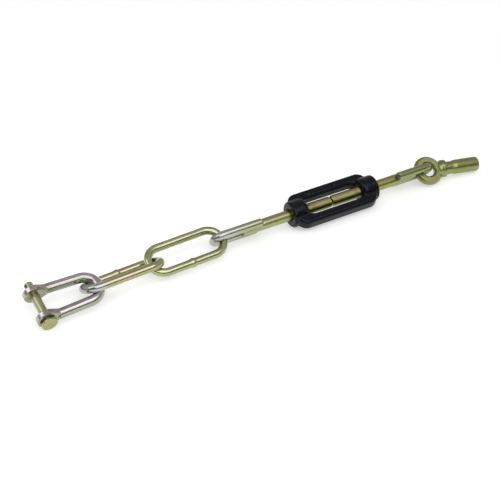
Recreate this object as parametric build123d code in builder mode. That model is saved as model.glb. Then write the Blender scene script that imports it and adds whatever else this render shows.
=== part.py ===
from build123d import *
from math import cos, radians, sin
import os

os.makedirs("parts", exist_ok=True)

# Check chain with a turnbuckle, in millimetres: a shackle and its clevis pin, two long links, a turnbuckle
# whose two rods each carry a welded half link, and an eye bolt. The origin is the middle of the clevis pin's
# span, +X runs along the rods towards the eye bolt and +Z is up. The chain is slack, as it lies on a floor.

# Round bar stock
rod_diameter = 16.0
half_link_bar = 12.0
link_bar = 11.5
shackle_bar = 14.0

# Shackle and pin
shackle_length = 83.6        # pin's axis to the middle of the bar at the bow
shackle_bow_radius = 19.7
shackle_splay = 2.4          # degrees that each leg leans out towards its eye
shackle_bar_end = 14.5       # pin's axis to the shoulder where the round bar stops
shoulder_bevel = 2.6
eye_radius = 14.0
eye_thickness = 9.6
eye_bevel = 1.5
eye_inset = 0.7              # eye's middle in from the bar's, towards the jaw
tongue_radius = 5.2
pin_diameter = 12.4
pin_hole_clearance = 0.08    # radial
pin_head_diameter = 22.0
pin_head_thickness = 3.5
pin_head_round = 0.8
pin_head_position = -32.4    # outer face of the head
pin_tip_position = 38.0
pin_tip_bevel = 1.4
cotter_hole_diameter = 4.2
cotter_hole_from_tip = 5.2
cotter_hole_turn = 35.0      # degrees about the pin's axis

# Long links
link_half_width = 20.0       # middle of one leg to the chain's axis
link_length = 112.6          # between the middles of the two bows
flash_length = 9.0           # upset round the butt joint, halfway along one leg
flash_height = 0.9
flash_sink = 0.3             # its ends dip below the bar's surface

# Turnbuckle body
body_length = 142.0
body_width = 55.5
rail_length = 131.0
rail_thickness = 17.0
rail_round = 4.4
rail_corner_radius = 15.0
window_length = 98.0
window_width = 28.0
hub_diameter = 38.0
hub_length = 26.0
hub_outer_round = 4.0
hub_inner_round = 7.0
hub_blend = 2.5
bore_clearance = 0.06        # radial
bore_mouth_bevel = 1.5

# Rods and half links
rod_length = 143.0
rod_bevel = 1.6
rods_gap = 2.0
rods_gap_offset = -2.5       # middle of the gap between the rods, from the body's middle
half_link_radius = 14.05     # the legs just touch the sides of the rod
leg_end_bevel = 2.0
left_bow_to_body = 191.9     # middle of the bow to the body's middle
left_leg_end = 120.0         # leg's end to the body's middle
right_bow_to_body = 166.1
right_leg_end = 107.0
weld_radius = 3.2
weld_side = 8.6              # weld run's centre, across from the rod's axis
weld_lift = 3.9              # and out of the plane of the half link
left_weld_length = 25.0
right_weld_length = 31.0
weld_setback = 1.5           # from the leg's end

# Eye bolt
ring_outer_radius = 21.7
ring_hole_radius = 9.75
ring_thickness = 11.0
ring_bevel = 3.0
collar_radius = 13.0
collar_start = 19.5
collar_end = 27.8
collar_bevel = 1.6
throat_start = 15.5          # where the shank leaves the ring
throat_radius = 10.0
neck_radius = 9.5
neck_taper = 6.0
stud_start = 44.5
stud_end = 81.9
stud_radius = 10.75
stud_round = 4.0

# How each piece lies: its width is turned by the roll about the chain's axis, 0 upright and 90 level
shackle_roll, shackle_yaw = 73.5, 1.6
link_1_roll, link_1_yaw = -60.0, 2.7
link_2_roll, link_2_yaw = 68.5, 2.4
body_roll = 73.3
left_half_link_roll = -36.3
right_half_link_roll = -37.6
eye_bolt_roll, eye_bolt_yaw, eye_bolt_pitch = 56.4, -8.9, 4.3

# Slack between the bars of neighbouring pieces
shackle_slack = 7.6
link_slack = 3.0
half_link_slack = 0.8
ring_offset = Vector(-0.4, -2.3, -1.8)


def lying_plane(origin, roll, yaw=0.0, pitch=0.0):
    """Plane of a piece: x along the piece, y across its width and z out of its plane."""
    along = Vector(
        cos(radians(yaw)) * cos(radians(pitch)),
        sin(radians(yaw)) * cos(radians(pitch)),
        -sin(radians(pitch)),
    )
    across = Vector(0, sin(radians(roll)), cos(radians(roll)))
    return Plane(origin=origin, x_dir=along, z_dir=along.cross(across))


def end_plane(path):
    """Plane square to the start of a path, for the section that is swept along it."""
    return Plane(origin=path.line @ 0, z_dir=path.line % 0)


# Places along the chain, each one hanging from the one before it
shackle_plane = lying_plane((0, 0, 0), shackle_roll, shackle_yaw)
shackle_bow = shackle_plane.from_local_coords((shackle_length, 0, 0))
link_1_left = shackle_bow - Vector((link_bar + shackle_bar) / 2 + shackle_slack, 0, 0)
link_1_plane = lying_plane(link_1_left, link_1_roll, link_1_yaw)
link_1_right = link_1_plane.from_local_coords((link_length, 0, 0))
link_2_left = link_1_right - Vector(link_bar + link_slack, 0, 0)
link_2_plane = lying_plane(link_2_left, link_2_roll, link_2_yaw)
link_2_right = link_2_plane.from_local_coords((link_length, 0, 0))
left_bow = link_2_right - Vector((link_bar + half_link_bar) / 2 + half_link_slack, 0, 0)
body_centre = left_bow + Vector(left_bow_to_body, 0, 0)
right_bow = body_centre + Vector(right_bow_to_body, 0, 0)
body_plane = lying_plane(body_centre, body_roll)
left_plane = lying_plane(left_bow, left_half_link_roll)
right_plane = lying_plane(right_bow, right_half_link_roll)
ring_centre = right_bow + ring_offset
eye_bolt_plane = lying_plane(ring_centre, eye_bolt_roll, eye_bolt_yaw, eye_bolt_pitch)
body_axis = Axis(body_centre, (1, 0, 0))


# Shackle: round bar bent to a U, with the legs flattened into two drilled eyes
leg_run = (shackle_length - shackle_bow_radius - shackle_bar_end) / cos(radians(shackle_splay))
leg_x = shackle_length - shackle_bow_radius + shackle_bow_radius * sin(radians(shackle_splay))
leg_y = shackle_bow_radius * cos(radians(shackle_splay))
bar_end_y = leg_y + leg_run * sin(radians(shackle_splay))
eye_offset = bar_end_y - eye_inset
pin_plane = Plane(shackle_plane.origin, x_dir=shackle_plane.x_dir, z_dir=shackle_plane.y_dir)
pin_axis = Axis(pin_plane.origin, pin_plane.z_dir)


def eye_blank(side):
    """Flat eye on one leg's end, bevelled all round, with the tongue that runs into the round bar."""
    with BuildPart() as eye:
        with BuildSketch(pin_plane.offset(side * eye_offset - eye_thickness / 2)):
            Circle(eye_radius)
            with Locations((shackle_bar_end + tongue_radius, 0)):
                Circle(tongue_radius)
            make_hull()
        extrude(amount=eye_thickness)
        chamfer(eye.faces().filter_by(pin_axis).edges(), length=eye_bevel)
    return eye


low_eye = eye_blank(-1)
high_eye = eye_blank(1)
with BuildPart() as shackle:
    with BuildLine(shackle_plane) as shackle_bend:
        Line((shackle_bar_end, -bar_end_y), (leg_x, -leg_y))
        CenterArc(
            (shackle_length - shackle_bow_radius, 0),
            shackle_bow_radius,
            -90 + shackle_splay,
            180 - 2 * shackle_splay,
        )
        Line((leg_x, leg_y), (shackle_bar_end, bar_end_y))
    with BuildSketch(end_plane(shackle_bend)):
        Circle(shackle_bar / 2)
    sweep(path=shackle_bend.line)
    chamfer(shackle.faces().filter_by(GeomType.PLANE).edges(), length=shoulder_bevel)
    add(low_eye.part)
    add(high_eye.part)
    with BuildSketch(pin_plane.offset(-eye_offset - eye_thickness)):
        Circle(pin_diameter / 2 + pin_hole_clearance)
    extrude(amount=2 * (eye_offset + eye_thickness), mode=Mode.SUBTRACT)
shackle.part.label = "shackle"
export_step(shackle.part, "parts/shackle.step")


# Clevis pin: flat head, bevelled tip and a cross hole for a cotter
cotter_z = pin_tip_position - cotter_hole_from_tip
with BuildPart() as clevis_pin:
    with BuildSketch(pin_plane.offset(pin_head_position)):
        Circle(pin_diameter / 2)
    extrude(amount=pin_tip_position - pin_head_position)
    tip_face = clevis_pin.faces().sort_by(pin_axis)[-1]
    chamfer(tip_face.edges(), length=pin_tip_bevel)
    with BuildSketch(pin_plane.offset(pin_head_position)):
        Circle(pin_head_diameter / 2)
    extrude(amount=pin_head_thickness)
    head_rims = clevis_pin.edges().filter_by(GeomType.CIRCLE).group_by(SortBy.RADIUS)[-1]
    fillet(head_rims, radius=pin_head_round)
    hole_origin = pin_plane.from_local_coords((0, 0, cotter_z))
    hole_turn = radians(cotter_hole_turn)
    hole_x = pin_plane.x_dir * cos(hole_turn) + pin_plane.y_dir * sin(hole_turn)
    with BuildSketch(Plane(hole_origin, x_dir=pin_plane.z_dir, z_dir=hole_x)):
        Circle(cotter_hole_diameter / 2)
    extrude(amount=pin_diameter, both=True, mode=Mode.SUBTRACT)
clevis_pin.part.label = "clevis_pin"
export_step(clevis_pin.part, "parts/clevis_pin.step")


def long_link(plane):
    """Long link: round bar bent to a closed loop and butt-welded, with a low flash round the joint."""
    right_centre = link_length - link_half_width
    with BuildPart() as link:
        with BuildLine(plane) as loop:
            Line((link_half_width, -link_half_width), (right_centre, -link_half_width))
            CenterArc((right_centre, 0), link_half_width, -90, 180)
            Line((right_centre, link_half_width), (link_half_width, link_half_width))
            CenterArc((link_half_width, 0), link_half_width, 90, 180)
        with BuildSketch(end_plane(loop)):
            Circle(link_bar / 2)
        sweep(path=loop.line)
        flash_x = link_length / 2
        flash_y = -link_half_width
        rise = link_bar / 2 - flash_sink
        with BuildSketch(plane):
            with BuildLine():
                Polyline(
                    (flash_x - flash_length / 2, flash_y + rise),
                    (flash_x - flash_length / 2, flash_y),
                    (flash_x + flash_length / 2, flash_y),
                    (flash_x + flash_length / 2, flash_y + rise),
                )
                ThreePointArc(
                    (flash_x - flash_length / 2, flash_y + rise),
                    (flash_x, flash_y + link_bar / 2 + flash_height),
                    (flash_x + flash_length / 2, flash_y + rise),
                )
            make_face()
        revolve(axis=Axis(plane.from_local_coords((flash_x, flash_y, 0)), plane.x_dir))
    return link


# The two long links hang in each other, the first one in the shackle's bow
chain_link_1 = long_link(link_1_plane)
chain_link_1.part.label = "chain_link_1"
export_step(chain_link_1.part, "parts/chain_link_1.step")

chain_link_2 = long_link(link_2_plane)
chain_link_2.part.label = "chain_link_2"
export_step(chain_link_2.part, "parts/chain_link_2.step")


def rod(start):
    """Round rod on the body's axis with both ends bevelled; start is its low end, from the body's middle."""
    with BuildPart() as bar:
        with BuildSketch(Plane(body_centre + Vector(start, 0, 0), x_dir=(0, 1, 0), z_dir=(1, 0, 0))):
            Circle(rod_diameter / 2)
        extrude(amount=rod_length)
        chamfer(bar.edges().filter_by(GeomType.CIRCLE), length=rod_bevel)
    return bar


def half_link(plane, side, leg_length):
    """U of round bar: the bow's middle at the plane's origin, the legs running to the given side of it."""
    bend = side * half_link_radius
    with BuildPart() as bar:
        with BuildLine(plane) as path:
            Line((side * leg_length, -half_link_radius), (bend, -half_link_radius))
            CenterArc((bend, 0), half_link_radius, -90, -side * 180)
            Line((bend, half_link_radius), (side * leg_length, half_link_radius))
        with BuildSketch(end_plane(path)):
            Circle(half_link_bar / 2)
        sweep(path=path.line)
        chamfer(bar.faces().filter_by(GeomType.PLANE).edges(), length=leg_end_bevel)
    return bar


def weld_run(plane, start, length, across, lift, bar, legs):
    """Weld run between rod and leg: a round-ended bead that fills the groove down to both bars."""
    low = plane.from_local_coords((start, across, lift))
    with BuildPart() as bead:
        with BuildSketch(Plane(low, x_dir=plane.x_dir, z_dir=plane.z_dir)):
            with BuildLine():
                Line((0, 0), (length, 0))
                CenterArc((length - weld_radius, 0), weld_radius, 0, 90)
                Line((length - weld_radius, weld_radius), (weld_radius, weld_radius))
                CenterArc((weld_radius, 0), weld_radius, 90, 90)
            make_face()
        revolve(axis=Axis(low, plane.x_dir))
        add(bar.part, mode=Mode.SUBTRACT)
        add(legs.part, mode=Mode.SUBTRACT)
    return bead


# Left side: rod, half link and four weld runs
left_rod = rod(rods_gap_offset - rods_gap / 2 - rod_length)
left_rod.part.label = "left_rod"
export_step(left_rod.part, "parts/left_rod.step")

left_half_link = half_link(left_plane, 1, left_bow_to_body - left_leg_end)
left_half_link.part.label = "left_half_link"
export_step(left_half_link.part, "parts/left_half_link.step")

# Right side: the same, turned end for end
right_rod = rod(rods_gap_offset + rods_gap / 2)
right_rod.part.label = "right_rod"
export_step(right_rod.part, "parts/right_rod.step")

right_half_link = half_link(right_plane, -1, right_bow_to_body - right_leg_end)
right_half_link.part.label = "right_half_link"
export_step(right_half_link.part, "parts/right_half_link.step")

left_weld_start = left_bow_to_body - left_leg_end - left_weld_length - weld_setback
right_weld_start = right_leg_end - right_bow_to_body + weld_setback
for leg_name, leg in (("low", -1), ("high", 1)):
    for face_name, face in (("back", 1), ("front", -1)):
        run = weld_run(
            left_plane, left_weld_start, left_weld_length,
            leg * weld_side, face * weld_lift, left_rod, left_half_link,
        )
        run.part.label = f"left_weld_{leg_name}_{face_name}"
        export_step(run.part, f"parts/left_weld_{leg_name}_{face_name}.step")
        run = weld_run(
            right_plane, right_weld_start, right_weld_length,
            leg * weld_side, face * weld_lift, right_rod, right_half_link,
        )
        run.part.label = f"right_weld_{leg_name}_{face_name}"
        export_step(run.part, f"parts/right_weld_{leg_name}_{face_name}.step")


# Turnbuckle body: two rails round an open window, joined at each end by a round tapped hub
hub_radius = hub_diameter / 2
bore_radius = rod_diameter / 2 + bore_clearance
with BuildPart() as turnbuckle_body:
    with BuildSketch(body_plane):
        RectangleRounded(rail_length, body_width, rail_corner_radius)
        SlotOverall(window_length, window_width, mode=Mode.SUBTRACT)
    extrude(amount=rail_thickness / 2, both=True)
    flats = turnbuckle_body.faces().filter_by(Axis(body_centre, body_plane.z_dir))
    fillet(flats.edges(), radius=rail_round)
    rail_edges = turnbuckle_body.edges()
    for side in (-1, 1):
        outer = side * body_length / 2
        inner = outer - side * hub_length
        outer_x = outer - side * hub_outer_round
        outer_y = hub_radius - hub_outer_round
        inner_x = inner + side * hub_inner_round
        inner_y = hub_radius - hub_inner_round
        with BuildSketch(body_plane):
            with BuildLine():
                Line((inner_x, hub_radius), (outer_x, hub_radius))
                CenterArc((outer_x, outer_y), hub_outer_round, 90, -side * 90)
                Polyline((outer, outer_y), (outer, 0), (inner, 0), (inner, inner_y))
                CenterArc((inner_x, inner_y), hub_inner_round, 90, side * 90)
            make_face()
        revolve(axis=body_axis)
    seams = turnbuckle_body.edges() - rail_edges
    seams = [edge for edge in seams if edge.geom_type not in (GeomType.CIRCLE, GeomType.LINE)]
    fillet(seams, radius=hub_blend)
    with BuildSketch(Plane(body_centre, x_dir=(0, 1, 0), z_dir=(1, 0, 0))):
        Circle(bore_radius)
    extrude(amount=body_length, both=True, mode=Mode.SUBTRACT)
    for end in (0, -1):
        end_face = turnbuckle_body.faces().sort_by(body_axis)[end]
        chamfer(end_face.inner_wires().edges(), length=bore_mouth_bevel)
turnbuckle_body.part.label = "turnbuckle_body"
export_step(turnbuckle_body.part, "parts/turnbuckle_body.step")


# Eye bolt: forged ring, collar, neck and stud in one piece
with BuildPart() as eye_bolt:
    ring_axis = Axis(ring_centre, eye_bolt_plane.z_dir)
    section_plane = Plane(ring_centre, x_dir=eye_bolt_plane.y_dir, z_dir=eye_bolt_plane.x_dir)
    with BuildSketch(section_plane):
        with Locations(((ring_outer_radius + ring_hole_radius) / 2, 0)):
            section = Rectangle(ring_outer_radius - ring_hole_radius, ring_thickness)
        chamfer(section.vertices(), length=ring_bevel)
    revolve(axis=ring_axis)
    with BuildSketch(eye_bolt_plane):
        with BuildLine():
            Polyline(
                (throat_start, 0),
                (throat_start, throat_radius),
                (collar_start, collar_radius - collar_bevel),
                (collar_start + collar_bevel, collar_radius),
                (collar_end - collar_bevel, collar_radius),
                (collar_end, collar_radius - collar_bevel),
                (collar_end, neck_radius),
                (stud_start - neck_taper, neck_radius),
                (stud_start, stud_radius),
                (stud_end - stud_round, stud_radius),
            )
            CenterArc((stud_end - stud_round, stud_radius - stud_round), stud_round, 90, -90)
            Polyline((stud_end, stud_radius - stud_round), (stud_end, 0), (throat_start, 0))
        make_face()
    revolve(axis=Axis(ring_centre, eye_bolt_plane.x_dir))
eye_bolt.part.label = "eye_bolt"
export_step(eye_bolt.part, "parts/eye_bolt.step")
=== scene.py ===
import math

import bpy
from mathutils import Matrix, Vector
import numpy as np


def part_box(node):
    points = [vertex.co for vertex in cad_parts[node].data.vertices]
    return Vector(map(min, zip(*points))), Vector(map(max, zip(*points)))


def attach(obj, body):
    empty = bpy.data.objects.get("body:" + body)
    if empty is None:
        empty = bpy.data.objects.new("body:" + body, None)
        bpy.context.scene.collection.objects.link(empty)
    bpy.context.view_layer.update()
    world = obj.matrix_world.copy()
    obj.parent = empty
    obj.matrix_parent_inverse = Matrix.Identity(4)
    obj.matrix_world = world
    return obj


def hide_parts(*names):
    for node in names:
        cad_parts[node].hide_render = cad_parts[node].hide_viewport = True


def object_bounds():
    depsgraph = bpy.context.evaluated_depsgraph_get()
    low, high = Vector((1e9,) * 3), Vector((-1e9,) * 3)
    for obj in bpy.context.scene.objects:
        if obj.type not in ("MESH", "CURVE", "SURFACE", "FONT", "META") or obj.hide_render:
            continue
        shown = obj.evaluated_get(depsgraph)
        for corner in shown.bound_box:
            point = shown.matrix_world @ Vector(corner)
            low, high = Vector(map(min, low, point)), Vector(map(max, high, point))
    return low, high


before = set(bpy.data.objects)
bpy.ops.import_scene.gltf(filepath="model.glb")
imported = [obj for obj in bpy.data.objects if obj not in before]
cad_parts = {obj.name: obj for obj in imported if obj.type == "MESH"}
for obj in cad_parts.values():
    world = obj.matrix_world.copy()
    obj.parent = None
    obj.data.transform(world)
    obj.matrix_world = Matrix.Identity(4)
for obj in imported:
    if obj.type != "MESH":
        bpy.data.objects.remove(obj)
cad_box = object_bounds()


# Shackle: round bar bent to a U, each leg forged into a drilled eye. It is steel, zinc plated and passivated
# almost clear, so it is silvery, with pink and green tints in patches. Painted into its colours are a
# lavender highlight along the upper side of each bar, a green floor reflection underneath and brown shade on
# the crown. The damp that stands round the pin has stained its eyes brown.
class Wire:
    """An output of a shader node. Arithmetic on wires and numbers adds Math nodes to the same tree."""

    def __init__(self, tree, socket):
        self.tree = tree
        self.socket = socket

    def node(self, kind, settings=None, inputs=None, output=0):
        """Any node: its settings come first, then each input takes a value or another wire."""
        made = self.tree.nodes.new(kind)
        for setting, value in (settings or {}).items():
            if setting == "stops":
                ramp = made.color_ramp
                while len(ramp.elements) < len(value):
                    ramp.elements.new(0.5)
                for stop, (place, colour) in zip(ramp.elements, value):
                    stop.position = place
                    stop.color = (*colour, 1.0)
            else:
                setattr(made, setting, value)
        for place, value in (inputs or {}).items():
            if isinstance(value, Wire):
                self.tree.links.new(value.socket, made.inputs[place])
            else:
                made.inputs[place].default_value = value
        return Wire(self.tree, made.outputs[output])

    def maths(self, operation, first, second):
        """A Math node on two wires, or on a wire and a number."""
        return self.node("ShaderNodeMath", {"operation": operation}, {0: first, 1: second})

    def __add__(self, other):
        return self.maths("ADD", self, other)

    def __radd__(self, other):
        return self.maths("ADD", other, self)

    def __sub__(self, other):
        return self.maths("SUBTRACT", self, other)

    def __rsub__(self, other):
        return self.maths("SUBTRACT", other, self)

    def __mul__(self, other):
        return self.maths("MULTIPLY", self, other)

    def __rmul__(self, other):
        return self.maths("MULTIPLY", other, self)

    def larger(self, other):
        """The larger of this wire and another."""
        return self.maths("MAXIMUM", self, other)

    def rise(self, low, high):
        """A smooth step from 0 at low to 1 at high. Where low is the larger of the two, it is a fall."""
        inputs = {"Value": self, "From Min": low, "From Max": high}
        return self.node("ShaderNodeMapRange", {"interpolation_type": "SMOOTHSTEP"}, inputs)

    def between(self, first, second):
        """Colour that goes from the first to the second as this wire goes from 0 to 1."""
        ends = {}
        for place, colour in ((6, first), (7, second)):
            ends[place] = colour if isinstance(colour, Wire) else (*colour, 1.0)
        return self.node("ShaderNodeMix", {"data_type": "RGBA"}, {0: self, **ends}, output=2)

    def stretched(self, scale):
        """Coordinates scaled by axis, so that a pattern runs along a piece or goes round it in rings."""
        return self.node("ShaderNodeMapping", inputs={"Vector": self, "Scale": scale})

    def noise(self, scale, detail=3.0, roughness=0.5):
        """Blotches from 0 to 1, about scale of them to the metre."""
        inputs = {"Vector": self, "Scale": scale, "Detail": detail, "Roughness": roughness}
        return self.node("ShaderNodeTexNoise", inputs=inputs)

    def part(self, axis):
        """One coordinate of a vector, by its letter."""
        return self.node("ShaderNodeSeparateXYZ", inputs={0: self}, output=axis)

    def dot(self, direction):
        """Dot product of two vectors."""
        inputs = {0: self, 1: direction}
        return self.node("ShaderNodeVectorMath", {"operation": "DOT_PRODUCT"}, inputs, output="Value")


def new_finish(name):
    """An empty material: it, its Principled shader and the piece's own coordinates and normal."""
    material = bpy.data.materials.new(name)
    material.use_nodes = True
    tree = material.node_tree
    shader = tree.nodes["Principled BSDF"]
    place = tree.nodes.new("ShaderNodeTexCoord")
    return material, shader, Wire(tree, place.outputs["Object"]), Wire(tree, place.outputs["Normal"])


def feed(shader, **wires):
    """Links wires to the shader's sockets, a name's underscores standing for spaces."""
    for name, wire in wires.items():
        wire.tree.links.new(wire.socket, shader.inputs[name.replace("_", " ")])


# The four colours of each finish, in order: the underside with a painted floor reflection, the side, the
# painted highlight and the crown with painted shade.
film_and_light_stops = (0.12, 0.45, 0.72, 0.92)  # where each of the four colours is reached
rose_blush = (0.54, 0.42, 0.40)
green_blush = (0.31, 0.38, 0.19)
bare_zinc = (0.48, 0.48, 0.47)
brown_stain = (0.28, 0.22, 0.11)
leg_end_grey = (0.12, 0.14, 0.15)
rubbed_and_highlight_bright = (0.66, 0.64, 0.50)


def film(place, facing, patches, colours, blush_colour):
    """Colour of a passivate film with painted light in it, from four colours. Which colour shows follows the
    way the surface faces, up and towards +Y, so the colours paint a floor reflection underneath, a
    highlight higher up and shade on the crown. It drifts in long streaks, patches, rings and a fine
    mottle, and here and there it has a blush of its own colour or of green."""
    streaks = place.stretched((1.0, 5.0, 5.0)).noise(24.0, roughness=0.55)
    rings = place.stretched((1.0, 0.0, 0.0)).noise(70.0)
    mottle = place.noise(62.0, detail=4.0, roughness=0.62)
    # Painted light: where the surface faces up and towards +Y the colour moves to the painted highlight and
    # then to the crown's painted shade, and where it faces down, to the painted floor reflection.
    painted_light_facing = facing.part("Z") * 0.36 + facing.part("Y") * 0.27
    drift = (streaks - 0.5) * 0.50 + (patches - 0.5) * 0.35 + (rings - 0.5) * 0.40 + (mottle - 0.5) * 0.40
    film_and_painted_light = 0.5 + painted_light_facing + drift
    stops = list(zip(film_and_light_stops, colours))
    colour = film_and_painted_light.node("ShaderNodeValToRGB", {"stops": stops}, {"Fac": film_and_painted_light})
    blush = place.stretched((1.0, 6.0, 6.0)).noise(30.0, detail=2.0)
    colour = (blush.rise(0.54, 0.68) * 0.35).between(colour, blush_colour)
    return ((1.0 - blush).rise(0.53, 0.67) * 0.35).between(colour, green_blush)


def passivated(
    name, colours, roughness, relief=0.10, blush_colour=rose_blush, rounding=0.0007,
    pale=None, stained=None, end_grey=None,
):
    """Zinc under a passivate film, with painted light in its colours (a floor reflection below, a highlight
    and a shaded crown), and grime, dark spots and scuffs. Each of the last three arguments, if given, is a
    pair of places along X: from the first to the second, the film thickens from bare zinc, brown blotches
    thin out, and a darker blue-grey comes up, in that order. Edges are rounded a little, and painted
    bright, partly as rubbed wear and partly as a painted highlight."""
    material, shader, place, facing = new_finish(name)
    patches = place.noise(13.0, detail=2.0)
    colour = film(place, facing, patches, colours, blush_colour)
    if pale:
        filmed = (place.part("X") + (patches - 0.5) * 0.03).rise(*pale)
        colour = filmed.between(bare_zinc, colour)
    if stained:
        clean = (place.part("X") + (patches - 0.5) * 0.02).rise(*stained)
        blotches = place.noise(170.0, roughness=0.6).rise(0.46, 0.60)
        colour = ((1.0 - clean) * blotches * 0.65).between(colour, brown_stain)
    # Towards a leg's end the colour goes to a darker blue-grey.
    if end_grey:
        colour = (place.part("X").rise(*end_grey) * 0.8).between(colour, leg_end_grey)
    grime = place.noise(230.0, detail=5.0, roughness=0.65)
    spots = place.noise(75.0, roughness=0.6).rise(0.60, 0.74) * 0.4
    dark = tuple(0.42 * part for part in colours[3])
    colour = (grime.rise(0.60, 0.80) * 0.3 + spots).between(colour, dark)
    rounded = place.node("ShaderNodeBevel", {"samples": 6}, {"Radius": rounding})
    flat = place.node("ShaderNodeNewGeometry", output="Normal")
    edge_wear_and_highlight = (1.0 - rounded.dot(flat)).rise(0.01, 0.10)
    # Painted bright along the edges: partly rubbed wear, partly a painted highlight.
    colour = (edge_wear_and_highlight * grime.rise(0.70, 0.40) * 0.75).between(colour, rubbed_and_highlight_bright)
    scuffs = place.stretched((1.0, 9.0, 9.0)).noise(130.0, roughness=0.7).rise(0.60, 0.75)
    dullness = roughness + (patches - 0.5) * 0.10 + scuffs * 0.08 + spots * 0.20
    feed(shader, Base_Color=colour, Roughness=dullness)
    shader.inputs["Metallic"].default_value = 1.0
    dents = place.noise(70.0, detail=2.0) * 1.6 + place.noise(330.0, detail=2.0) * 0.25
    height = dents + scuffs * 0.1 - spots * 0.6
    bump = {"Strength": relief, "Distance": 0.0004, "Height": height, "Normal": rounded}
    feed(shader, Normal=height.node("ShaderNodeBump", inputs=bump))
    return material


def dress(node, material):
    """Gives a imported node's own mesh a finish."""
    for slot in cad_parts[node].material_slots:
        slot.material = material


silver = passivated(
    "silver_passivate",
    colours=((0.33, 0.37, 0.27), (0.41, 0.42, 0.34), (0.61, 0.53, 0.62), (0.42, 0.37, 0.30)),
    roughness=0.19,
    stained=(0.012, 0.034),
)
dress("shackle", silver)


# Clevis pin: turned from bright bar, with a flat head, a bevelled tip and a cross hole for a cotter. Its
# passivate is thicker than the shackle's and came out a pale green-yellow, with a few brown stains.
pin_finish = passivated(
    "pin_passivate",
    colours=((0.37, 0.40, 0.16), (0.45, 0.47, 0.22), (0.50, 0.52, 0.31), (0.40, 0.40, 0.20)),
    roughness=0.33,
    relief=0.25,
    stained=(-0.03, 0.03),
)
dress("clevis_pin", pin_finish)


# Long links: loops of round bar, butt-welded in one leg, passivated yellow. The film on the first one is
# thinner, so there it is paler and more golden than on the second, which has olive and brown in it.
gold = passivated(
    "gold_passivate",
    colours=((0.34, 0.34, 0.16), (0.45, 0.43, 0.24), (0.54, 0.50, 0.34), (0.42, 0.37, 0.20)),
    roughness=0.19,
    pale=(0.078, 0.105),
)
dress("chain_link_1", gold)
yellow = passivated(
    "yellow_passivate",
    colours=((0.33, 0.37, 0.17), (0.41, 0.43, 0.22), (0.54, 0.54, 0.34), (0.38, 0.36, 0.19)),
    roughness=0.19,
)
dress("chain_link_2", yellow)


# Half links: two Us of round bar with the rods' ends welded between their legs, plated after welding. The
# left one's bow hung highest in the passivate, where it stayed bare for longer and is silvery. The legs are
# cut off square, and their ends are coloured a darker blue-grey.
end_grey_from = 0.0022  # where the darker blue-grey begins, back from the leg's end
end_grey_to = 0.0010  # and where it is full
left_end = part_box("left_half_link")[1].x
right_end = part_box("right_half_link")[0].x
left_bar = passivated(
    "left_bar_passivate",
    colours=((0.34, 0.38, 0.18), (0.40, 0.42, 0.23), (0.49, 0.49, 0.33), (0.38, 0.37, 0.22)),
    roughness=0.24,
    pale=(0.272, 0.322),
    end_grey=(left_end - end_grey_from, left_end - end_grey_to),
)
dress("left_half_link", left_bar)
right_bar = passivated(
    "right_bar_passivate",
    colours=((0.28, 0.33, 0.14), (0.28, 0.31, 0.13), (0.36, 0.37, 0.19), (0.26, 0.28, 0.13)),
    roughness=0.28,
    end_grey=(right_end + end_grey_from, right_end + end_grey_to),
)
dress("right_half_link", right_bar)


# Eye bolt: drop-forged in one piece, a ring on a collared shank with a plain round stud. The dies met in
# the ring's middle plane, where the trimmed flash stands a little proud of the rim, all round to the shank.
body_to_ring = np.array([0.1657, -0.0023, -0.0018])
ring_middle = np.mean(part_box("turnbuckle_body"), axis=0) + body_to_ring
ring_roll, ring_yaw, ring_pitch = np.radians([56.4, -8.9, 4.3])
rim_radius = 0.0217
flash_width = 0.0014
flash_height = 0.0005
flash_unevenness = 0.18
flash_run_out = 0.04  # as a share of the flash's whole run, at either end
shank_gap = math.radians(40)
forged_yellow = passivated(
    "forged_passivate",
    colours=((0.27, 0.31, 0.11), (0.28, 0.31, 0.11), (0.35, 0.35, 0.15), (0.26, 0.28, 0.10)),
    roughness=0.30,
    relief=0.30,
    blush_colour=(0.34, 0.25, 0.11),
    rounding=0.0013,
)
dress("eye_bolt", forged_yellow)


def skin(name, rings, body, material):
    """A closed skin over rings of points, as an array of ring, point and coordinate. Each ring closes on
    itself, and the first and the last close to their own middle point."""
    count, around = rings.shape[:2]
    points = np.concatenate([rings.reshape(-1, 3), rings[:1].mean(axis=1), rings[-1:].mean(axis=1)])
    ring, step = np.meshgrid(np.arange(count - 1), np.arange(around), indexing="ij")
    ahead = (step + 1) % around
    corner = ring * around
    beyond = corner + around
    quads = np.stack([corner + step, corner + ahead, beyond + ahead, beyond + step], axis=-1)
    one = np.arange(around)
    two = (one + 1) % around
    first_pole = np.full(around, count * around)
    last_row = (count - 1) * around
    front = np.stack([two, one, first_pole], axis=-1)
    back = np.stack([last_row + one, last_row + two, first_pole + 1], axis=-1)
    mesh = bpy.data.meshes.new(name)
    mesh.from_pydata(points.tolist(), [], quads.reshape(-1, 4).tolist() + front.tolist() + back.tolist())
    mesh.shade_smooth()
    mesh.materials.append(material)
    piece = bpy.data.objects.new(name, mesh)
    bpy.context.scene.collection.objects.link(piece)
    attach(piece, body)
    return piece


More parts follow.
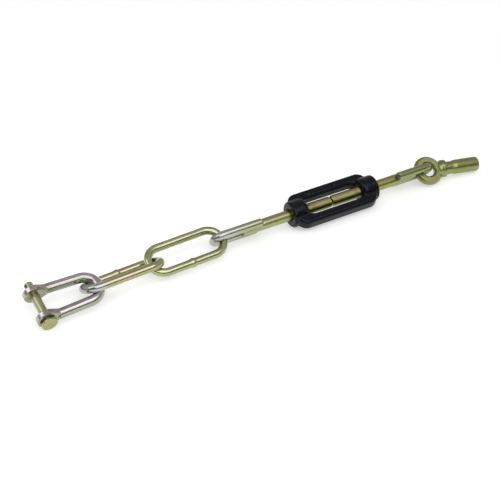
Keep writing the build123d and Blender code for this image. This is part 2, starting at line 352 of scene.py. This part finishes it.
def parting_flash():
    """Ridge round the ring: an ellipse, flash_width by twice flash_height, carried along the rim's circle
    from one side of the shank to the other. Its height wavers, and it shrinks away at both ends."""
    along = np.array([
        math.cos(ring_yaw) * math.cos(ring_pitch),
        math.sin(ring_yaw) * math.cos(ring_pitch),
        -math.sin(ring_pitch),
    ])
    rolled = [0.0, math.sin(ring_roll), math.cos(ring_roll)]
    across = np.cross(np.cross(along, rolled), along)
    across = across / np.linalg.norm(across)
    out = np.cross(along, across)
    spread = np.linspace(0.0, 1.0, 160)
    turn = shank_gap + spread * (2 * np.pi - 2 * shank_gap)
    taper = np.sqrt(np.clip(np.minimum(spread, 1 - spread) / flash_run_out, 0.01, 1.0))
    uneven = 1.0 + flash_unevenness * np.sin(9 * turn) * np.sin(4 * turn + 1.0)
    angle = np.linspace(0.0, 2 * np.pi, 16, endpoint=False)
    reach = rim_radius + (flash_height * taper * uneven)[:, None] * np.cos(angle)
    rise = (flash_width / 2 * taper)[:, None] * np.sin(angle)
    spoke = np.cos(turn)[:, None, None] * along + np.sin(turn)[:, None, None] * across
    rings = ring_middle + reach[..., None] * spoke + rise[..., None] * out
    skin("ring_parting_flash", rings, "eye", forged_yellow)


parting_flash()


# Threaded rods: plain round rod with a rolled thread on the inner end, left-hand in one and right-hand in
# the other, so that turning the body draws both in. The thread runs out just inside the hub's mouth.
thread_pitch = 0.0015
thread_depth = 0.00085
thread_length = 0.066
crest_share = 0.14  # of half a pitch, as is the flank's
flank_share = 0.68
rings_per_pitch = 9
rod_sides = 72
end_bevel = 0.0016
rod_yellow = passivated(
    "rod_passivate",
    colours=((0.33, 0.37, 0.11), (0.36, 0.36, 0.12), (0.42, 0.37, 0.16), (0.36, 0.30, 0.11)),
    roughness=0.30,
    blush_colour=(0.44, 0.29, 0.14),
    pale=(0.20, 0.41),
)


def threaded_rod(side, inner_way, hand):
    """Rod along X, its inner end facing inner_way. Its radius is the rod's, less a trapezoid wave of
    x / pitch - hand * turn that fades out at the thread's end, and less a bevel at both ends."""
    node = f"{side}_rod"
    low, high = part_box(node)
    middle = (low + high) / 2
    radius = (high.y - low.y) / 2
    length = high.x - low.x
    threaded = np.arange(0.0, thread_length + 2 * thread_pitch, thread_pitch / rings_per_pitch)
    plain = [0.75 * length, length - end_bevel, length]
    from_inner = np.concatenate([threaded, plain])
    x = low.x + from_inner
    if inner_way > 0:
        from_inner = from_inner[::-1]
        x = high.x - from_inner
    turn = np.linspace(0.0, 2 * np.pi, rod_sides, endpoint=False)
    along, angle = np.meshgrid(x, turn, indexing="ij")
    from_inner = from_inner[:, None]
    phase = (along / thread_pitch - hand * angle / (2 * np.pi)) % 1.0
    wave = np.clip((np.abs(2 * phase - 1) - crest_share) / flank_share, 0.0, 1.0)
    fade = np.clip((thread_length - from_inner) / (2 * thread_pitch), 0.0, 1.0)
    bevel = np.maximum(end_bevel - np.minimum(from_inner, length - from_inner), 0.0)
    r = np.minimum(radius - thread_depth * wave * fade, radius - bevel)
    rings = np.stack([along, middle.y + r * np.cos(angle), middle.z + r * np.sin(angle)], axis=-1)
    piece = skin(f"{side}_threaded_rod", rings, f"{side}_rod_end", rod_yellow)
    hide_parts(node)


threaded_rod("left", inner_way=1, hand=-1)
threaded_rod("right", inner_way=-1, hand=1)


# Weld runs: four to a side, in the grooves between rod and half-link legs. Arc-welded beads, a little
# uneven, with the curved ripples that each pull of the arc leaves, plated over with the rest.
bead_across = 0.0086  # from the rod's axis to the bead's, in the half link's plane
bead_lift = 0.0039  # and square to that plane
bead_radius = 0.0032
bead_rings = 150
bead_sides = 40
ripple_spacing = 0.0021
ripple_height = 0.00022
ripple_bow = 0.0009
ripple_rise = 0.7  # share of a ripple that rises, before its steeper fall
spacing_drift = 0.17
drift_rate = 900
slow_swell = 0.00012
slow_rate = 420
quick_swell = 0.00008
quick_rate = 1100
half_link_turn = {"left": math.radians(-36.3), "right": math.radians(-37.6)}
weld_finish = passivated(
    "weld_passivate",
    colours=((0.28, 0.32, 0.17), (0.36, 0.37, 0.22), (0.44, 0.43, 0.28), (0.32, 0.27, 0.17)),
    roughness=0.34,
    relief=0.4,
)


def weld_bead(side, leg, face):
    """Bead along X. Its radius falls off by a quarter circle at both ends. It carries a saw-tooth ripple
    whose crests trail back on both flanks, at a spacing that drifts, and two swells along the bead."""
    node = f"{side}_weld_{leg}_{face}"
    low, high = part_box(node)
    rod_low, rod_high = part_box(f"{side}_rod")
    rod_middle = (rod_low + rod_high) / 2
    turn = half_link_turn[side]
    across = bead_across * (1 if leg == "high" else -1)
    lift = bead_lift * (1 if face == "back" else -1)
    # the half link's plane: its width direction and the direction out of the plane, both square to X
    centre_y = rod_middle.y + across * math.sin(turn) - lift * math.cos(turn)
    centre_z = rod_middle.z + across * math.cos(turn) + lift * math.sin(turn)
    length = high.x - low.x
    along = length * (1 - np.cos(np.linspace(0.02, math.pi - 0.02, bead_rings))) / 2
    angle = np.linspace(0.0, 2 * np.pi, bead_sides, endpoint=False)
    x, a = np.meshgrid(along, angle, indexing="ij")
    to_end = np.clip(np.minimum(x, length - x) / bead_radius, 0.0, 1.0)
    round_end = np.sqrt(1 - (1 - to_end) ** 2)
    seed = sum(map(ord, node))
    outward = math.atan2(centre_z - rod_middle.z, centre_y - rod_middle.y)
    bow = ripple_bow * (1 - np.cos(a - outward))
    phase = ((x + bow) / ripple_spacing + spacing_drift * np.sin(x * drift_rate + seed)) % 1.0
    ripple = ripple_height * (np.minimum(phase / ripple_rise, (1 - phase) / (1 - ripple_rise)) - 0.5)
    swell = slow_swell * np.sin(x * slow_rate + seed) + quick_swell * np.sin(x * quick_rate + 2.0 * seed + a)
    r = (bead_radius + ripple + swell) * round_end
    rings = np.stack([low.x + x, centre_y + r * np.cos(a), centre_z + r * np.sin(a)], axis=-1)
    piece = skin(f"{side}_bead_{leg}_{face}", rings, f"{side}_rod_end", weld_finish)
    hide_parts(node)


for side in ("left", "right"):
    for leg in ("low", "high"):
        for face in ("back", "front"):
            weld_bead(side, leg, face)


# Turnbuckle body: one casting of two rails and two tapped hubs, dipped in black enamel that leaves the
# casting's skin to be felt through it. Dust lies on what faces up, and small chips show grey.
deep_black = (0.0015, 0.0015, 0.003)
dusty_black = (0.012, 0.012, 0.015)
chip_grey = (0.20, 0.20, 0.21)


def black_enamel():
    """Near-black enamel with a faint blue sheen, over the waves, grain and pits of a sand casting."""
    material, shader, place, facing = new_finish("black_enamel")
    cast = place.noise(140.0, detail=4.0, roughness=0.6)
    pores = place.node("ShaderNodeTexVoronoi", {"feature": "F1"}, {"Vector": place, "Scale": 260.0})
    pits = 1.0 - pores.rise(0.05, 0.32)
    dust = place.noise(60.0, detail=5.0, roughness=0.7).rise(0.52, 0.75) * facing.part("Z").rise(-0.2, 0.8)
    colour = (dust * 0.35).between(deep_black, dusty_black)
    chips = place.noise(480.0, roughness=0.6).rise(0.64, 0.72)
    colour = (chips * 0.7).between(colour, chip_grey)
    feed(shader, Base_Color=colour, Roughness=0.15 + cast * 0.18 + dust * 0.12)
    shader.inputs["Specular IOR Level"].default_value = 0.26
    shader.inputs["Specular Tint"].default_value = (0.80, 0.84, 1.0, 1.0)
    relief = cast - pits * 0.25 + place.noise(38.0, detail=2.0) * 2.0
    bump = {"Strength": 0.45, "Distance": 0.0006, "Height": relief}
    feed(shader, Normal=relief.node("ShaderNodeBump", inputs=bump))
    return material


dress("turnbuckle_body", black_enamel())


# Studio: a pale floor at the object's lowest point, and one big soft box above and in front of it, with a
# small panel at the left. The grey room is darker in front, which the plating shows as a dark line.
floor_half = 9.0
paper_white = (0.82, 0.82, 0.82, 1.0)
paper_glow = (0.46, 0.46, 0.46)
soft_box = {"size": (3.1, 2.8), "at": (0.0, -1.60, 1.90), "towards": (0.1, -1.1, 0.0), "watts": 41.0}
side_panel = {"size": (1.2, 1.2), "at": (-1.3, 0.45, 1.5), "towards": (0.1, 0.0, 0.0), "watts": 5.5}
room_grey = (0.46, 0.46, 0.46)
dark_grey = (0.15, 0.15, 0.15)
room_front = (-0.49, -0.87, 0.0)


def lay_floor():
    """Square sheet at the object's lowest point. It glows a little where it is looked at, straight or in a
    reflection, so that it is white there and still takes a shadow."""
    low = cad_box[0].z
    corners = [(-floor_half, -floor_half, low), (floor_half, -floor_half, low)]
    corners += [(floor_half, floor_half, low), (-floor_half, floor_half, low)]
    mesh = bpy.data.meshes.new("studio_floor")
    mesh.from_pydata(corners, [], [(0, 1, 2, 3)])
    floor = bpy.data.objects.new("studio_floor", mesh)
    bpy.context.scene.collection.objects.link(floor)
    material, shader, place, facing = new_finish("floor_paper")
    shader.inputs["Base Color"].default_value = paper_white
    shader.inputs["Roughness"].default_value = 0.9
    shader.inputs["Specular IOR Level"].default_value = 0.1
    seen = place.node("ShaderNodeLightPath", output="Is Camera Ray")
    for ray in ("Is Glossy Ray", "Is Transmission Ray"):
        seen = seen.larger(place.node("ShaderNodeLightPath", output=ray))
    feed(shader, Emission_Color=seen.between((0.0, 0.0, 0.0), paper_glow))
    shader.inputs["Emission Strength"].default_value = 1.0
    mesh.materials.append(material)


def hang_lamp(name, lamp):
    """Rectangular area lamp, turned towards a point."""
    light = bpy.data.lights.new(name, "AREA")
    light.shape = "RECTANGLE"
    light.size, light.size_y = lamp["size"]
    light.energy = lamp["watts"]
    holder = bpy.data.objects.new(name, light)
    holder.location = lamp["at"]
    away = holder.location - Vector(lamp["towards"])
    holder.rotation_euler = away.to_track_quat("Z", "Y").to_euler()
    bpy.context.scene.collection.objects.link(holder)


lay_floor()
hang_lamp("soft_box", soft_box)
hang_lamp("side_panel", side_panel)
world = bpy.data.worlds.new("grey_room")
world.use_nodes = True
background = world.node_tree.nodes["Background"]
outlook = Wire(world.node_tree, world.node_tree.nodes.new("ShaderNodeTexCoord").outputs["Generated"])
walls = outlook.dot(room_front).rise(0.1, 0.6).between(room_grey, dark_grey)
world.node_tree.links.new(walls.socket, background.inputs["Color"])
background.inputs["Strength"].default_value = 1.0
bpy.context.scene.world = world
bpy.context.scene.view_settings.view_transform = "Standard"


# Camera: seen from above the shackle's end, so that the chain runs away up to the right. A long lens from
# well back keeps the far end from looking small.
look_turn = math.radians(-29.414)
look_down = math.radians(37.518)
look_distance = 1.8388
looked_at = (0.2947, -0.0300, -0.0003)
camera = bpy.data.objects.new("studio_camera", bpy.data.cameras.new("studio_camera"))
camera.data.sensor_width = 36.0
camera.data.lens = 97.246
camera.data.clip_end = 60.0
camera.rotation_euler = (math.pi / 2 - look_down, 0.0, look_turn)
camera.location = (
    looked_at[0] + look_distance * math.sin(look_turn) * math.cos(look_down),
    looked_at[1] - look_distance * math.cos(look_turn) * math.cos(look_down),
    looked_at[2] + look_distance * math.sin(look_down),
)
bpy.context.scene.collection.objects.link(camera)
bpy.context.scene.camera = camera
